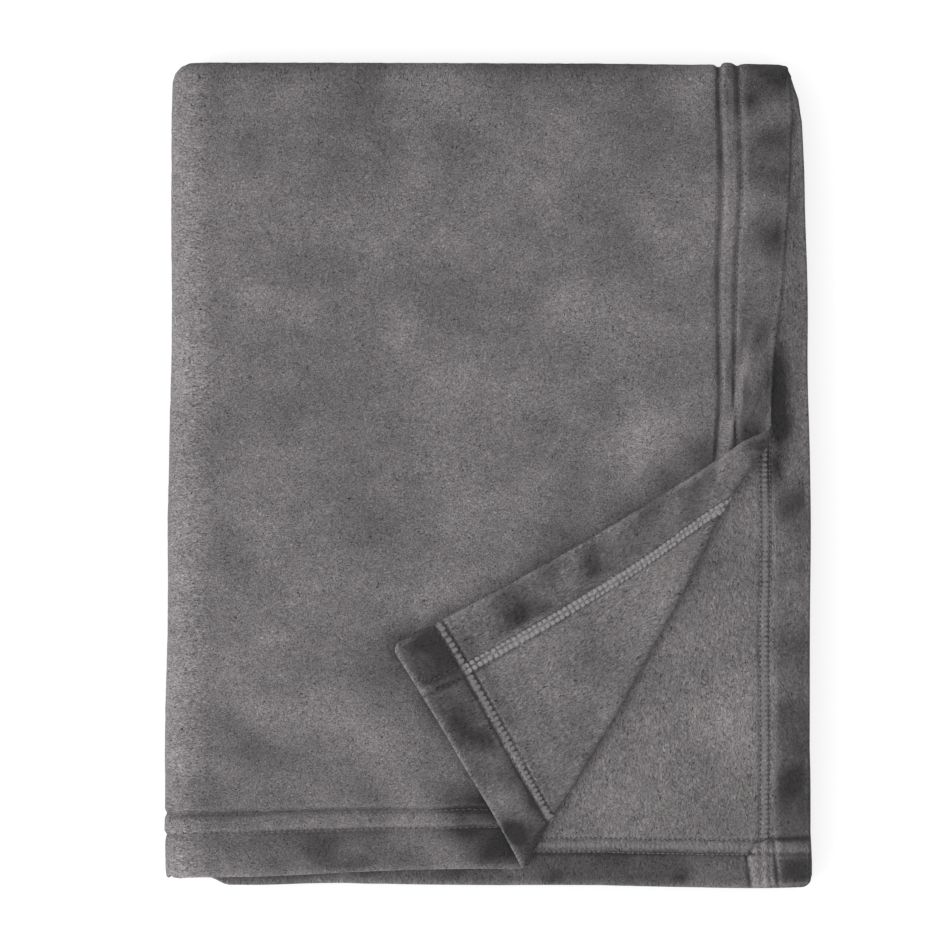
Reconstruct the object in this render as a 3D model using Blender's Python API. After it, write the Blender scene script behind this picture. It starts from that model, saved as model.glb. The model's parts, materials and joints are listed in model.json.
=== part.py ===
"""A plush throw blanket, folded four times into a flat bundle, with its top corner turned over.

The throw is one rectangle of cloth with a wide coverstitched hem on all four sides. Every solid here is
a patch of that rectangle, or of the seam thread in it. A patch is described on the flat throw, and the
same four folds that make the bundle carry it to its place, so the layers and turns nest by themselves.

On the flat throw, x is 0 at the right edge and falls to the left, y is 0 at the front edge and grows to
the back, and z runs from 0 on the back of the cloth to PITCH on its face.

The bundle's own frame is in metres, +Z up, with the origin on the surface that it rests on, under the
middle of its footprint. +Y points to its back edge and +X to its right.
"""

import math

import bmesh
import bpy
from mathutils import Matrix, Vector

# Driving dimensions, in metres and degrees
BUNDLE_WIDTH = 0.353  # left fold to right edge
BUNDLE_DEPTH = 0.450  # front edge to back fold
PITCH = 0.00275  # one layer of cloth with its share of the gap
GAP = 0.0003  # between solids that touch in the real throw
HEM_WIDTH = 0.036  # hem edge to the seam's inner needle line
TOP_SIDE_INSET = 0.0110  # how far the top layer's right edge lies inside the bundle's
TOP_FRONT_INSET = 0.0065  # the same at its front edge
TURNED_SIDE_LENGTH = 0.255  # side hem that goes over with the turned corner
CREASE_ANGLE = 60.0  # of the crease, from the front edge

# The coverstitch: two needle threads on the face and a chain of looper thread on the back
NEEDLE_SPACING = 0.0080
NEEDLE_WIDTH = 0.0008
NEEDLE_GROOVE_DEPTH = 0.0009
CHAIN_WIDTH = 0.0066
CHAIN_GROOVE_DEPTH = 0.0007
THREAD_CLEARANCE = 0.00015
GROOVE_WALL = 0.00002  # plan width of a groove's steep side

# Facets in each half turn
SMALL_TURN_STEPS = 6
BACK_TURN_STEPS = 8
LEFT_TURN_STEPS = 12

CLOTH_FACE_COLOUR = (0.155, 0.147, 0.150)
CLOTH_BACK_COLOUR = (0.170, 0.163, 0.165)
HEM_COLOUR = (0.180, 0.172, 0.174)
THREAD_COLOUR = (0.300, 0.292, 0.290)
CLOTH_ROUGHNESS = 0.95
THREAD_ROUGHNESS = 0.70


class Fold:
    """One fold of the whole pack by hand: what lies beyond a line goes under the rest."""

    def __init__(self, axis, sense, line, layers, steps):
        self.axis = axis  # 0 if the line is crossed along X, 1 if along Y
        self.sense = sense  # 1 if the coordinate grows beyond the line, -1 if it falls
        self.line = line
        self.pack = layers * PITCH
        self.arc = math.pi * self.pack / 2
        self.steps = steps

    def carry(self, point):
        """Where the fold takes a point. The pack's lower surface meets itself."""
        beyond = self.sense * (point[self.axis] - self.line)
        moved = point.copy()
        if beyond <= 0:
            moved.z = self.pack + point.z
        elif beyond < self.arc:
            turn = math.pi * beyond / self.arc
            moved[self.axis] = self.line + self.sense * point.z * math.sin(turn)
            moved.z = self.pack + point.z * math.cos(turn)
        else:
            moved[self.axis] = self.line - self.sense * (beyond - self.arc)
            moved.z = self.pack - point.z
        return moved

    def far_end(self):
        return self.line + self.sense * self.arc

    def partner(self, coordinate):
        """The place on the flat pack that comes to lie under this one."""
        return self.line + self.far_end() - coordinate


def plan_folds():
    """The four folds in the order they are made. The last two lines set the first two."""
    back = Fold(1, 1, BUNDLE_DEPTH - 4 * PITCH, 4, BACK_TURN_STEPS)
    left = Fold(0, -1, -(BUNDLE_WIDTH - 8 * PITCH), 8, LEFT_TURN_STEPS)
    front = Fold(1, 1, back.partner(PITCH), 1, SMALL_TURN_STEPS)
    right = Fold(0, -1, left.partner(-2 * PITCH), 2, SMALL_TURN_STEPS)
    return front, right, back, left


FRONT_FOLD, RIGHT_FOLD, BACK_FOLD, LEFT_FOLD = plan_folds()
FOLDS = (FRONT_FOLD, RIGHT_FOLD, BACK_FOLD, LEFT_FOLD)
THROW_LEFT = RIGHT_FOLD.partner(0.0)
THROW_BACK = FRONT_FOLD.partner(0.0)
LAYER_COUNT = 2 ** len(FOLDS)
STACK_HEIGHT = LAYER_COUNT * PITCH
TO_BUNDLE = Vector((BUNDLE_WIDTH / 2, -BUNDLE_DEPTH / 2, -GAP / 2))


def place(x, y, z):
    """Takes a point of the flat throw to its place in the bundle."""
    point = Vector((x, y, z))
    for fold in FOLDS:
        point = fold.carry(point)
    return point + TO_BUNDLE


def turns_along(axis):
    """Every half turn that a line along this axis of the flat throw goes through, with its facet count."""
    first, second = (RIGHT_FOLD, LEFT_FOLD) if axis == 0 else (FRONT_FOLD, BACK_FOLD)
    mirrored = (first.partner(second.line), first.partner(second.far_end()))
    return (
        (first.line, first.far_end(), first.steps),
        (second.line, second.far_end(), second.steps),
        (*mirrored, second.steps),
    )


def stations(axis, start, end, grooves):
    """The coordinates between start and end where a patch needs a row of vertices."""
    found = {start, end}
    for turn_start, turn_end, steps in turns_along(axis):
        for step in range(steps + 1):
            found.add(turn_start + (turn_end - turn_start) * step / steps)
    for groove in grooves:
        if groove.axis == axis:
            found.update(groove.edges())
    return [value for value in sorted(found) if start <= value <= end]


class Groove:
    """A straight groove that the stitches pull into the cloth, on its face or its back."""

    def __init__(self, axis, centre, width, depth, on_face):
        self.axis = axis  # the coordinate that stays the same along the groove
        self.centre = centre
        self.half_width = width / 2
        self.depth = depth
        self.on_face = on_face

    def edges(self):
        outer = self.half_width + GROOVE_WALL
        return [self.centre + offset for offset in (-outer, -self.half_width, self.half_width, outer)]

    def depth_at(self, point):
        inside = abs(point[self.axis] - self.centre) < self.half_width + GROOVE_WALL / 2
        return self.depth if inside else 0.0


def surface_height(point, on_face, grooves):
    """Height of the cloth's face or back above the slot's floor, with the grooves taken off."""
    depth = max((g.depth_at(point) for g in grooves if g.on_face == on_face), default=0.0)
    return PITCH - GAP / 2 - depth if on_face else GAP / 2 + depth


def box_faces(columns, rows):
    """Outward faces of a grid of columns x rows of vertices, twice: the back first, then the face."""
    layer = columns * rows

    def vertex(column, row, top):
        return top * layer + row * columns + column

    faces = []
    for row in range(rows - 1):
        for column in range(columns - 1):
            corners = ((column, row), (column + 1, row), (column + 1, row + 1), (column, row + 1))
            faces.append([vertex(c, r, 1) for c, r in corners])
            faces.append([vertex(c, r, 0) for c, r in reversed(corners)])
    rim = [(column, 0) for column in range(columns - 1)]
    rim += [(columns - 1, row) for row in range(rows - 1)]
    rim += [(column, rows - 1) for column in range(columns - 1, 0, -1)]
    rim += [(0, row) for row in range(rows - 1, 0, -1)]
    for start, end in zip(rim, rim[1:] + rim[:1]):
        faces.append([vertex(*start, 0), vertex(*end, 0), vertex(*end, 1), vertex(*start, 1)])
    return faces


def add_object(name, points, faces, material):
    mesh = bpy.data.meshes.new(name)
    mesh.from_pydata(points, [], faces)
    mesh.materials.append(material)
    mesh.validate()
    mesh.shade_smooth()
    mesh.set_sharp_from_angle(angle=math.radians(40))
    obj = bpy.data.objects.new(name, mesh)
    bpy.context.collection.objects.link(obj)
    return obj


def cloth_patch(name, across, along, material, grooves=()):
    """A patch of cloth between two x and two y of the flat throw, clear of its neighbours by half a gap."""
    xs = stations(0, min(across) + GAP / 2, max(across) - GAP / 2, grooves)
    ys = stations(1, min(along) + GAP / 2, max(along) - GAP / 2, grooves)
    plan = [Vector((x, y)) for y in ys for x in xs]
    points = [
        place(p.x, p.y, surface_height(p, on_face, grooves)) for on_face in (False, True) for p in plan
    ]
    return add_object(name, points, box_faces(len(xs), len(ys)), material)


def thread_bar(name, groove, along, material):
    """The thread of one seam line, filling its groove up to the surface of the cloth."""
    half = groove.half_width - THREAD_CLEARANCE
    height = groove.depth - 2 * THREAD_CLEARANCE
    top = PITCH - GAP / 2 - THREAD_CLEARANCE if groove.on_face else GAP / 2 + THREAD_CLEARANCE + height
    ranges = [None, None]
    ranges[groove.axis] = (groove.centre - half, groove.centre + half)
    ranges[1 - groove.axis] = (min(along) + GAP / 2, max(along) - GAP / 2)
    xs, ys = (stations(axis, *ranges[axis], ()) for axis in (0, 1))
    points = [place(x, y, z) for z in (top - height, top) for y in ys for x in xs]
    return add_object(name, points, box_faces(len(xs), len(ys)), material)


def make_material(name, colour, roughness):
    material = bpy.data.materials.new(name)
    material.use_nodes = True
    shader = material.node_tree.nodes["Principled BSDF"]
    shader.inputs["Base Color"].default_value = (*colour, 1.0)
    shader.inputs["Roughness"].default_value = roughness
    shader.inputs["Metallic"].default_value = 0.0
    return material


def make_materials():
    return {
        "face": make_material("plush_face", CLOTH_FACE_COLOUR, CLOTH_ROUGHNESS),
        "back": make_material("plush_back", CLOTH_BACK_COLOUR, CLOTH_ROUGHNESS),
        "hem": make_material("turned_hem", HEM_COLOUR, CLOTH_ROUGHNESS),
        "thread": make_material("seam_thread", THREAD_COLOUR, THREAD_ROUGHNESS),
    }


def seam_grooves(axis, edge, inward):
    """The grooves of the seam that holds the hem at this edge: inner needle, outer needle, looper chain."""
    inner = edge + inward * HEM_WIDTH
    outer = inner - inward * NEEDLE_SPACING
    needle_grooves = [
        Groove(axis, line, NEEDLE_WIDTH, NEEDLE_GROOVE_DEPTH, on_face=True) for line in (inner, outer)
    ]
    chain = Groove(axis, (inner + outer) / 2, CHAIN_WIDTH, CHAIN_GROOVE_DEPTH, on_face=False)
    return (*needle_grooves, chain)


def hem_split(edge, inward):
    """Where the hem's solid ends and the panel's begins: just inside the inner needle line."""
    return edge + inward * (HEM_WIDTH + NEEDLE_WIDTH)


# Named stretches of the flat throw, across it (x) and along it (y)
MID_FRONT = (FRONT_FOLD.line + FRONT_FOLD.far_end()) / 2
RIGHT_COLUMN = (LEFT_FOLD.line, hem_split(0.0, -1))
INNER_COLUMN = (RIGHT_FOLD.line, LEFT_FOLD.far_end())
LEFT_TURN = (LEFT_FOLD.far_end(), LEFT_FOLD.line)
RIGHT_TURN = (RIGHT_FOLD.far_end(), RIGHT_FOLD.line)
RIGHT_EDGE = (hem_split(0.0, -1), 0.0)
FRONT_ROW = (hem_split(0.0, 1), BACK_FOLD.line)
BACK_TURN = (BACK_FOLD.line, BACK_FOLD.far_end())
INNER_ROW = (BACK_FOLD.far_end(), FRONT_FOLD.line)
FRONT_TURN = (FRONT_FOLD.line, FRONT_FOLD.far_end())
FRONT_EDGE = (0.0, hem_split(0.0, 1))


def across_partner(stretch):
    return tuple(RIGHT_FOLD.partner(x) for x in stretch)


def along_partner(stretch):
    return tuple(FRONT_FOLD.partner(y) for y in stretch)


def make_inner_layers(materials):
    """The cloth of layers 2 to 16 between the folds and the hems, counted from the top of the bundle."""
    columns = (RIGHT_COLUMN, INNER_COLUMN, across_partner(INNER_COLUMN), across_partner(RIGHT_COLUMN))
    rows = (FRONT_ROW, INNER_ROW, along_partner(INNER_ROW), along_partner(FRONT_ROW))
    for column in columns:
        for row in rows:
            middle = place(sum(column) / 2, sum(row) / 2, PITCH / 2)
            number = LAYER_COUNT - int(middle.z / PITCH)
            if number > 1:
                side = materials["back"] if number % 2 == 0 else materials["face"]
                cloth_patch(f"layer_{number:02d}", column, row, side)


def make_fold_turns(materials):
    """The rounded stretches of cloth that join the layers at the back, front, right and left."""
    face = materials["face"]
    top_column = (LEFT_FOLD.line, -TOP_SIDE_INSET)
    whole_column = (LEFT_FOLD.line, 0.0)
    back, far_back = BACK_TURN, along_partner(BACK_TURN)
    cloth_patch("back_fold_01_to_08", top_column, back, face)
    cloth_patch("back_fold_02_to_07", whole_column, far_back, face)
    cloth_patch("back_fold_03_to_06", across_partner(whole_column), far_back, face)
    cloth_patch("back_fold_04_to_05", across_partner(whole_column), back, face)
    cloth_patch("back_fold_09_to_16", INNER_COLUMN, back, face)
    cloth_patch("back_fold_10_to_15", INNER_COLUMN, far_back, face)
    cloth_patch("back_fold_11_to_14", across_partner(INNER_COLUMN), far_back, face)
    cloth_patch("back_fold_12_to_13", across_partner(INNER_COLUMN), back, face)

    cloth_patch("front_fold_07_to_08", RIGHT_COLUMN, FRONT_TURN, face)
    cloth_patch("front_fold_05_to_06", across_partner(RIGHT_COLUMN), FRONT_TURN, face)
    cloth_patch("front_fold_09_to_10", INNER_COLUMN, FRONT_TURN, face)
    cloth_patch("front_fold_11_to_12", across_partner(INNER_COLUMN), FRONT_TURN, face)

    near_half = (FRONT_ROW[0], MID_FRONT)
    far_half = along_partner(near_half)
    cloth_patch("right_fold_outer", RIGHT_TURN, near_half, face)
    cloth_patch("right_fold_inner", RIGHT_TURN, far_half, face)

    near_length = (0.0, MID_FRONT)
    far_length = along_partner(near_length)
    cloth_patch("left_fold_01_08_to_16_09", LEFT_TURN, near_length, face)
    cloth_patch("left_fold_02_07_to_15_10", LEFT_TURN, far_length, face)
    cloth_patch("left_fold_03_06_to_14_11", across_partner(LEFT_TURN), far_length, face)
    cloth_patch("left_fold_04_05_to_13_12", across_partner(LEFT_TURN), near_length, face)


def make_inner_hems(materials):
    """The turned hems of layers 2 to 16. A corner belongs to the front or back hem."""
    hem = materials["hem"]
    side_length = (BACK_FOLD.far_end(), FRONT_FOLD.partner(BACK_FOLD.far_end()))
    cloth_patch("side_hem_07_08", RIGHT_EDGE, side_length, hem)
    cloth_patch("side_hem_05_06", across_partner(RIGHT_EDGE), side_length, hem)
    cloth_patch("side_hem_04", across_partner(RIGHT_EDGE), FRONT_ROW, hem)
    cloth_patch("side_hem_03", across_partner(RIGHT_EDGE), along_partner(FRONT_ROW), hem)

    outer_column = (LEFT_FOLD.line, 0.0)
    inner_pair = (RIGHT_FOLD.partner(LEFT_FOLD.far_end()), LEFT_FOLD.far_end())
    back_edge = along_partner(FRONT_EDGE)
    cloth_patch("front_hem_04", across_partner(outer_column), FRONT_EDGE, hem)
    cloth_patch("front_hem_03", across_partner(outer_column), back_edge, hem)
    cloth_patch("front_hem_13_16", inner_pair, FRONT_EDGE, hem)
    cloth_patch("front_hem_14_15", inner_pair, back_edge, hem)


def make_second_layer_hems(materials):
    """Layer 2 lies back side up, so its two hems show the looper chains of their seams."""
    side_seam = seam_grooves(0, 0.0, -1)
    back_seam = seam_grooves(1, THROW_BACK, -1)
    cloth_patch("side_hem_02", RIGHT_EDGE, along_partner(FRONT_ROW), materials["hem"], side_seam)
    back_edge = along_partner(FRONT_EDGE)
    cloth_patch("front_hem_02", (LEFT_FOLD.line, 0.0), back_edge, materials["hem"], back_seam)
    thread_bar("side_looper_chain_02", side_seam[2], along_partner(FRONT_ROW), materials["thread"])
    thread_bar("front_looper_chain_02", back_seam[2], (LEFT_FOLD.line, 0.0), materials["thread"])


def crease_frame():
    """A frame on the crease: X to the side that is turned over, Y along it to the side hem, Z up."""
    corner = place(-TOP_SIDE_INSET, TOP_FRONT_INSET, PITCH)
    angle = math.radians(CREASE_ANGLE)
    side_end = corner + Vector((0.0, TURNED_SIDE_LENGTH, 0.0))
    front_end = corner - Vector((TURNED_SIDE_LENGTH / math.tan(angle), 0.0, 0.0))
    frame = Matrix.Rotation(angle - math.pi / 2, 4, "Z")
    frame.translation = front_end
    return frame, (side_end - front_end).length


def make_cutter(name, frame, length, offset):
    """A block over all that lies beyond the crease, moved off it by half a gap."""
    reach, depth = 2 * length, 2 * PITCH
    corners = [(offset, -reach), (offset + 2 * reach, -reach), (offset + 2 * reach, reach), (offset, reach)]
    points = [frame @ Vector((x, y, z)) for z in (-depth, depth) for x, y in corners]
    faces = [(3, 2, 1, 0), (4, 5, 6, 7), (0, 1, 5, 4), (1, 2, 6, 5), (2, 3, 7, 6), (3, 0, 4, 7)]
    cutter = add_object(name, points, faces, None)
    cutter.hide_render = True
    cutter.display_type = "WIRE"
    return cutter


def cut(obj, cutter, operation):
    modifier = obj.modifiers.new("crease", "BOOLEAN")
    modifier.operation = operation
    modifier.object = cutter
    modifier.solver = "EXACT"


def top_layer_patches(materials, name):
    """The whole top layer as it lies before its corner is turned: panel, side hem and front hem."""
    side_edge, front_edge = -TOP_SIDE_INSET, TOP_FRONT_INSET
    side_seam = seam_grooves(0, side_edge, -1)
    front_seam = seam_grooves(1, front_edge, 1)
    side_split, front_split = hem_split(side_edge, -1), hem_split(front_edge, 1)
    column, row = (LEFT_FOLD.line, side_split), (front_split, BACK_FOLD.line)
    panel = cloth_patch(name.format("panel"), column, row, materials["face"])
    side = cloth_patch(name.format("side_hem"), (side_split, side_edge), row, materials["hem"], side_seam)
    width = (LEFT_FOLD.line, side_edge)
    front = cloth_patch(
        name.format("front_hem"), width, (front_edge, front_split), materials["hem"], front_seam
    )
    return [panel, side, front], side_seam, front_seam, row, width


def make_top_layer(materials, frame, crease_length):
    """What stays of layer 1 short of the crease, face side up, with its needle threads in their grooves."""
    cutter = make_cutter("crease_cutter", frame, crease_length, -GAP / 2)
    patches, side_seam, front_seam, row, width = top_layer_patches(materials, "top_{}_01")
    thread = materials["thread"]
    lines = [
        thread_bar("top_side_needle_inner", side_seam[0], row, thread),
        thread_bar("top_side_needle_outer", side_seam[1], row, thread),
        thread_bar("top_front_needle_inner", front_seam[0], width, thread),
        thread_bar("top_front_needle_outer", front_seam[1], width, thread),
    ]
    for obj in patches + lines:
        cut(obj, cutter, "DIFFERENCE")


def make_turned_corner(materials, frame, crease_length):
    """Layer 1 beyond the crease. It is modelled flat, and the empty on the crease turns it over."""
    cutter = make_cutter("corner_cutter", frame, crease_length, GAP / 2)
    patches, side_seam, front_seam, row, width = top_layer_patches(materials, "corner_{}")
    chains = [
        thread_bar("corner_side_looper_chain", side_seam[2], row, materials["thread"]),
        thread_bar("corner_front_looper_chain", front_seam[2], width, materials["thread"]),
    ]
    hinge = bpy.data.objects.new("corner_hinge", None)
    bpy.context.collection.objects.link(hinge)
    for obj in [cutter] + patches + chains:
        obj.parent = hinge
        obj.matrix_parent_inverse = frame.inverted()
    for obj in patches + chains:
        cut(obj, cutter, "INTERSECT")
    hinge.matrix_world = frame @ Matrix.Rotation(math.pi, 4, "Y")


def make_crease_turn(materials, frame, crease_length):
    """The cloth that goes round the crease, from layer 1 up to the turned corner."""
    inner, outer = GAP / 2, PITCH - GAP / 2
    section = []
    for radius, order in ((outer, 1), (inner, -1)):
        for step in range(BACK_TURN_STEPS + 1)[::order]:
            angle = math.pi * (step / BACK_TURN_STEPS - 0.5)
            section.append((GAP / 2 + radius * math.cos(angle), radius * math.sin(angle)))
    ends = (HEM_WIDTH / 2, crease_length - HEM_WIDTH / 4)
    points = [frame @ Vector((x, y, z)) for y in ends for x, z in section]
    count = len(section)
    half = count // 2
    faces = []
    for start in range(count):
        end = (start + 1) % count
        faces.append((start, start + count, end + count, end))
    for step in range(half - 1):
        quad = (step, step + 1, count - 2 - step, count - 1 - step)
        faces.append(quad)
        faces.append(tuple(index + count for index in reversed(quad)))
    return add_object("crease_turn", points, faces, materials["face"])


def main():
    for obj in list(bpy.data.objects):
        bpy.data.objects.remove(obj)
    materials = make_materials()
    frame, crease_length = crease_frame()
    make_top_layer(materials, frame, crease_length)
    make_turned_corner(materials, frame, crease_length)
    make_crease_turn(materials, frame, crease_length)
    make_inner_layers(materials)
    make_second_layer_hems(materials)
    make_inner_hems(materials)
    make_fold_turns(materials)


main()
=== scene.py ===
"""Looks for the folded plush throw: soft cloth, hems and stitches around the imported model.

Each piece of cloth is a grid on the flat throw, carried to its place by the four folds that made the
bundle and then softened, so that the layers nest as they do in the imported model. Metres, +Z up.
"""

import json
import math

import bpy
import numpy as np
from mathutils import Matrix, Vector


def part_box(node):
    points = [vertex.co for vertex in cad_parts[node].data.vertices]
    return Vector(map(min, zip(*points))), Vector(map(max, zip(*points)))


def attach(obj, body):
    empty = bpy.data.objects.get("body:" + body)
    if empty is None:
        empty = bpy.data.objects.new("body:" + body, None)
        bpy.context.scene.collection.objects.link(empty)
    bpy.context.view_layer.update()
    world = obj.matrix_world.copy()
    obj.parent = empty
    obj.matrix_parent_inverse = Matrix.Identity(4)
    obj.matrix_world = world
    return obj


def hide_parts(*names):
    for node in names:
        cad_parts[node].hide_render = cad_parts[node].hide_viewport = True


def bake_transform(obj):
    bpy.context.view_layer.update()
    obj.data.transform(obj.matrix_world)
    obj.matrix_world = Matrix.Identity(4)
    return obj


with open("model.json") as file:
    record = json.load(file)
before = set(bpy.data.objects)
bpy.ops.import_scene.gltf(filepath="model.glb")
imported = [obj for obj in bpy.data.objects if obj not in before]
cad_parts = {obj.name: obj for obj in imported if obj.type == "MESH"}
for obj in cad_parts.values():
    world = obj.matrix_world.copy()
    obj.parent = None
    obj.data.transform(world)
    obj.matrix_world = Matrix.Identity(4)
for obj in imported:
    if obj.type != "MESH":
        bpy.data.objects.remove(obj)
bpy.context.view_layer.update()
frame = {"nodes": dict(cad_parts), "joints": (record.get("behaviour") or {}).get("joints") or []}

JOINTS = {joint["name"]: joint for joint in frame["joints"]}

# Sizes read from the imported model
TOP_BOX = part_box("top_panel_01")
BASE_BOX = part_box("layer_16")
PITCH = (TOP_BOX[1].z - BASE_BOX[1].z) / 15
GAP = PITCH - (BASE_BOX[1].z - BASE_BOX[0].z)
STACK = 16 * PITCH
TOP_Z = TOP_BOX[1].z + GAP / 2
MIDDLE = (PITCH + GAP) / 2  # height of the middle of the cloth above the flat throw's back
LEFT_AXIS = Vector(JOINTS["left_fold"]["pos_m"])
CREASE_POINT = Vector(JOINTS["corner_turn"]["pos_m"])
CREASE_ALONG = Vector(JOINTS["corner_turn"]["axis"]).normalized()
CREASE_RIGHT = Vector((CREASE_ALONG.y, -CREASE_ALONG.x, 0.0))
HALF_WIDTH = 8 * PITCH - LEFT_AXIS.x
BACK_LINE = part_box("back_fold_01_to_08")[0].y - GAP / 2
HALF_DEPTH = BACK_LINE + 4 * PITCH
WIDTH, DEPTH = 2 * HALF_WIDTH, 2 * HALF_DEPTH

MM = 0.001


# ---------------------------------------------------------------- smooth helper functions

def smooth(value):
    """0 below 0, 1 above 1, and an even S between them."""
    t = np.clip(value, 0.0, 1.0)
    return t * t * (3 - 2 * t)


def bump(value):
    """1 at 0, falling smoothly to 0 at -1 and 1."""
    return smooth(1 - np.abs(value))


def ripples(u, v, wavelength, seed, waves=9):
    """A smooth random field of about unit size over two coordinates."""
    random = np.random.default_rng(seed)
    total = np.zeros(np.broadcast(u, v).shape)
    for _ in range(waves):
        angle = random.uniform(0, 2 * math.pi)
        phase = random.uniform(0, 2 * math.pi)
        number = 2 * math.pi / (wavelength * random.uniform(0.7, 1.6))
        total += np.cos(number * (u * math.cos(angle) + v * math.sin(angle)) + phase)
    return total / math.sqrt(waves)


# ---------------------------------------------------------------- the folds

class Fold:
    """One fold of the whole pack by hand: what lies beyond a line goes under the rest."""

    def __init__(self, axis, sense, line, layers):
        self.axis, self.sense, self.line = axis, sense, line
        self.pack = layers * PITCH
        self.arc = math.pi * self.pack / 2

    def carry(self, p):
        beyond = self.sense * (p[:, self.axis] - self.line)
        angle = math.pi * np.clip(beyond / self.arc, 0, 1)
        moved = p.copy()
        turned = self.line + self.sense * (p[:, 2] * np.sin(angle) - np.maximum(beyond - self.arc, 0))
        moved[:, self.axis] = np.where(beyond > 0, turned, p[:, self.axis])
        moved[:, 2] = self.pack + p[:, 2] * np.cos(angle)
        return moved

    def far_end(self):
        return self.line + self.sense * self.arc

    def partner(self, coordinate):
        return self.line + self.far_end() - coordinate


BACK_FOLD = Fold(1, 1, DEPTH - 4 * PITCH, 4)
LEFT_FOLD = Fold(0, -1, -(WIDTH - 8 * PITCH), 8)
FRONT_FOLD = Fold(1, 1, BACK_FOLD.partner(PITCH), 1)
RIGHT_FOLD = Fold(0, -1, LEFT_FOLD.partner(-2 * PITCH), 2)
FOLDS = (FRONT_FOLD, RIGHT_FOLD, BACK_FOLD, LEFT_FOLD)
THROW_LEFT, THROW_BACK = RIGHT_FOLD.partner(0.0), FRONT_FOLD.partner(0.0)


def fold(x, y, height):
    """Takes points of the flat throw, at a height in its own thickness, to the crisp bundle."""
    p = np.stack([x.ravel(), y.ravel(), np.broadcast_to(height, x.shape).ravel()], axis=1)
    for each in FOLDS:
        p = each.carry(p)
    return p + np.array([HALF_WIDTH, -HALF_DEPTH, -GAP / 2])


# ---------------------------------------------------------------- how the whole bundle is soft

BACK_SHIFT, BACK_TAPER = 1.0 * MM, 0.0182  # the bundle is narrower at its back edge, mostly on the left
EDGE_REACH = 34 * MM
RIGHT_SINK, FRONT_SINK = 0.13, 0.08  # share of the height lost at the open edges


def sink(x, y):
    """How far the stack is pressed down near its open right and front edges, as a share of its height."""
    right = np.clip(1 - (HALF_WIDTH - x) / EDGE_REACH, 0, 1.2)
    front = np.clip(1 - (y + HALF_DEPTH) / EDGE_REACH, 0, 1.2)
    return RIGHT_SINK * right**2.2 + FRONT_SINK * front**2.2


# How far the left and the back turns are drawn in along their length
LEFT_DRAW_AT = np.array([-0.120, -0.080, -0.030, 0.003, 0.040, 0.085, 0.166, 0.195])
LEFT_DRAW = np.array([0, 0.4, 1.0, 1.9, 1.5, 1.0, 0.9, 0]) * MM
BACK_DRAW_AT = np.array([-0.170, -0.100, 0.060, 0.120, 0.150, 0.176])
BACK_DRAW = np.array([0.4, 0.5, 0.9, 1.7, 1.9, 2.6]) * MM


def soften(p):
    """Soft unevenness of the bundle: the same for all layers at a place, so that they stay nested."""
    x, y, z = p[:, 0], p[:, 1], p[:, 2]
    share = z / STACK
    heave = 0.9 * MM * ripples(x, y, 0.17, 11) + 0.35 * MM * ripples(x, y, 0.06, 12)
    z_new = z * (1 - sink(x, y)) + share * heave
    right = smooth((x + 0.02) / (HALF_WIDTH + 0.02))
    front = smooth(-(y + 0.05) / (HALF_DEPTH - 0.05))
    x_new = x + (BACK_SHIFT - BACK_TAPER * x) * (y + HALF_DEPTH) / DEPTH
    x_new = x_new + right * 0.8 * MM * ripples(z / 0.009, y / 0.13, 1.0, 21)
    y_new = y + front * 0.8 * MM * ripples(z / 0.009, x / 0.12, 1.0, 22)
    left = smooth((-x - 0.1) / 0.07)
    x_new = x_new + left * (0.7 * MM * ripples(y, z, 0.15, 23) + np.interp(y, LEFT_DRAW_AT, LEFT_DRAW))
    back = smooth((y - 0.1) / (HALF_DEPTH - 0.1))
    y_new = y_new - back * np.interp(x, BACK_DRAW_AT, BACK_DRAW)
    return np.stack([x_new, y_new, np.maximum(z_new, 0.1 * MM)], axis=1)


# ---------------------------------------------------------------- grids of cloth

def lines(start, end, spacing, features=()):
    """Grid lines from start to end: evenly spaced, and closer where a feature (from, to, spacing) asks."""
    found = list(np.linspace(start, end, max(2, int(round((end - start) / spacing)) + 1)))
    for low, high, fine in features:
        low, high = max(low, start), min(high, end)
        if high > low:
            found = [value for value in found if value < low or value > high]
            found += list(np.linspace(low, high, max(2, int(round((high - low) / fine)) + 1)))
    found = sorted(found)
    kept = [found[0]]
    for value in found[1:]:
        if value - kept[-1] > 0.12 * MM:
            kept.append(value)
    kept[-1] = end
    return np.array(kept)


def rim(edge, inward):
    """Extra grid lines that round off an edge of the cloth."""
    far = edge + inward * 3.2 * MM
    return (min(edge, far), max(edge, far), 0.4 * MM)


def shell(name, face, back, keep=None):
    """A closed thick sheet between two grids of points, each of shape rows x columns x 3."""
    rows, columns = face.shape[:2]
    keep = np.ones((rows - 1, columns - 1), bool) if keep is None else keep
    index = np.arange(rows * columns).reshape(rows, columns)
    corner = [index[:-1, :-1], index[:-1, 1:], index[1:, 1:], index[1:, :-1]]
    quads = np.stack([c[keep] for c in corner], axis=1)
    count = rows * columns
    faces = [quads, quads[:, ::-1] + count]
    padded = np.pad(keep, 1)
    for (row, column), (a, b) in {(-1, 0): (0, 1), (0, 1): (1, 2), (1, 0): (2, 3), (0, -1): (3, 0)}.items():
        outside = ~padded[1 + row: rows + row, 1 + column: columns + column]
        at_edge = keep & outside
        start, end = corner[a][at_edge], corner[b][at_edge]
        faces.append(np.stack([end, start, start + count, end + count], axis=1))
    faces = np.concatenate(faces)
    points = np.concatenate([face.reshape(-1, 3), back.reshape(-1, 3)])
    used, renumbered = np.unique(faces, return_inverse=True)
    mesh = bpy.data.meshes.new(name)
    mesh.from_pydata(points[used].tolist(), [], renumbered.reshape(-1, 4).tolist())
    mesh.shade_smooth()
    obj = bpy.data.objects.new(name, mesh)
    bpy.context.collection.objects.link(obj)
    return obj, used


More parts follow.
